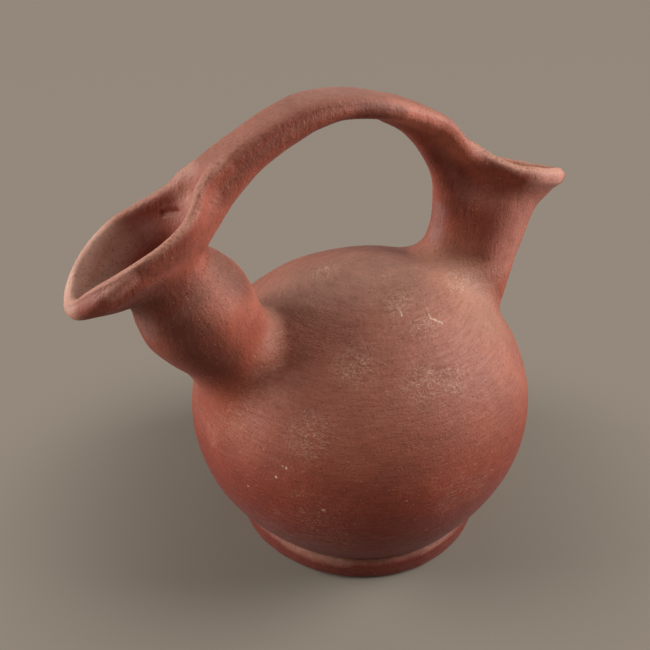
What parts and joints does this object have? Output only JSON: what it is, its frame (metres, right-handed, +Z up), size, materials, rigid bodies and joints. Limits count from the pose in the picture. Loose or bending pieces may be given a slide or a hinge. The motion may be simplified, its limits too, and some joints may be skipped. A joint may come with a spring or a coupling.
{
  "type": "double-spouted bottle with bridge handle",
  "caption": "Hand-built earthenware bottle: globular body on a slab foot, a flared spout on each shoulder, and a strap handle bridging the two mouths.",
  "frame": {"origin": "on the table, at the centre of the foot's flat underside, under the axis of the body", "axes": "+Z up, +X from the left spout to the right spout along the handle, -Y toward the viewer's side"},
  "size_m": [0.2801, 0.2, 0.2558],
  "materials": {
    "foot_clay": "unglazed, smoothed, rubbed along its edge",
    "bowl_clay": "unglazed, burnished with fine level strokes",
    "dome_clay": "unglazed, burnished, dusty and scuffed",
    "neck_clay": "unglazed, hand-smoothed",
    "mouth_clay": "unglazed, hand-smoothed, pitted at the lip",
    "handle_clay": "unglazed, hand-smoothed, finger grooves along it"
  },
  "bodies": {
    "root": {"foot_slab": "foot_clay", "body_bowl": "bowl_clay", "body_dome": "dome_clay", "neck_left": "neck_clay", "mouth_left": "mouth_clay", "neck_right": "neck_clay", "mouth_right": "mouth_clay", "bridge_handle": "handle_clay"}
  },
  "joints": []
}
